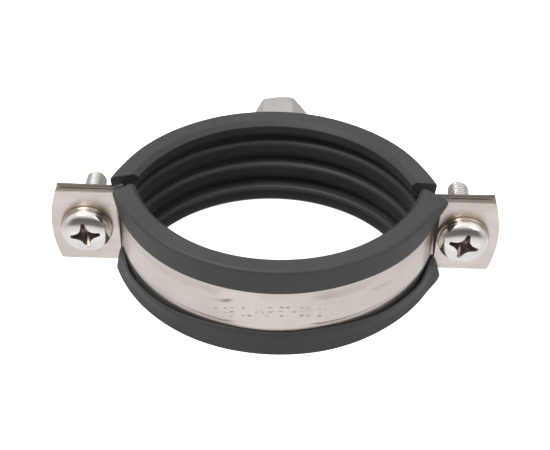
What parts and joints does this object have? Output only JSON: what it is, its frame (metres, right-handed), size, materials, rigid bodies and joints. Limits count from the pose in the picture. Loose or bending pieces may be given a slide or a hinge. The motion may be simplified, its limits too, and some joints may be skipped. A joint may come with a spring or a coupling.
{
  "type": "pipe clamp",
  "caption": "Cushioned pipe clamp: two rubber-lined strip halves with ears, closed by screws, and a threaded hexagon boss welded to the back.",
  "frame": {"origin": "on the pipe axis, at mid height, in the plane where the two halves meet", "axes": "+Z along the pipe axis, +Y towards the boss nut, screws along Y with their heads at -Y, ears at both ends of X"},
  "size_m": [0.1034, 0.0733, 0.0244],
  "materials": {
    "strip_steel": "satin stainless strip",
    "boss_steel": "turned stainless",
    "weld_steel": "as welded",
    "screw_steel": "polished",
    "washer_steel": "polished",
    "liner_rubber": "matte moulded rubber"
  },
  "bodies": {
    "rear_half": {"rear_band": "strip_steel", "rear_liner": "liner_rubber", "boss_nut": "boss_steel", "boss_weld": "weld_steel"},
    "front_half": {"front_band": "strip_steel", "front_liner": "liner_rubber", "left_washer": "washer_steel", "right_washer": "washer_steel"},
    "left_screw": {"left_screw": "screw_steel"},
    "right_screw": {"right_screw": "screw_steel"}
  },
  "joints": [
    {"name": "front_half_slide", "type": "slide", "parent": "rear_half", "child": "front_half", "axis": [0, -1, 0], "range_m": [0, 0.012]},
    {"name": "left_screw_turn", "type": "hinge", "parent": "front_half", "child": "left_screw", "pos_m": [-0.0434, 0, 0], "axis": [0, -1, 0], "range_deg": [0, 5400]},
    {"name": "right_screw_turn", "type": "hinge", "parent": "front_half", "child": "right_screw", "pos_m": [0.0434, 0, 0], "axis": [0, -1, 0], "range_deg": [0, 5400]}
  ],
  "couplings": [
    {"joint": "left_screw_turn", "follows": "front_half_slide", "rad_per_m": 7854},
    {"joint": "right_screw_turn", "follows": "front_half_slide", "rad_per_m": 7854}
  ]
}
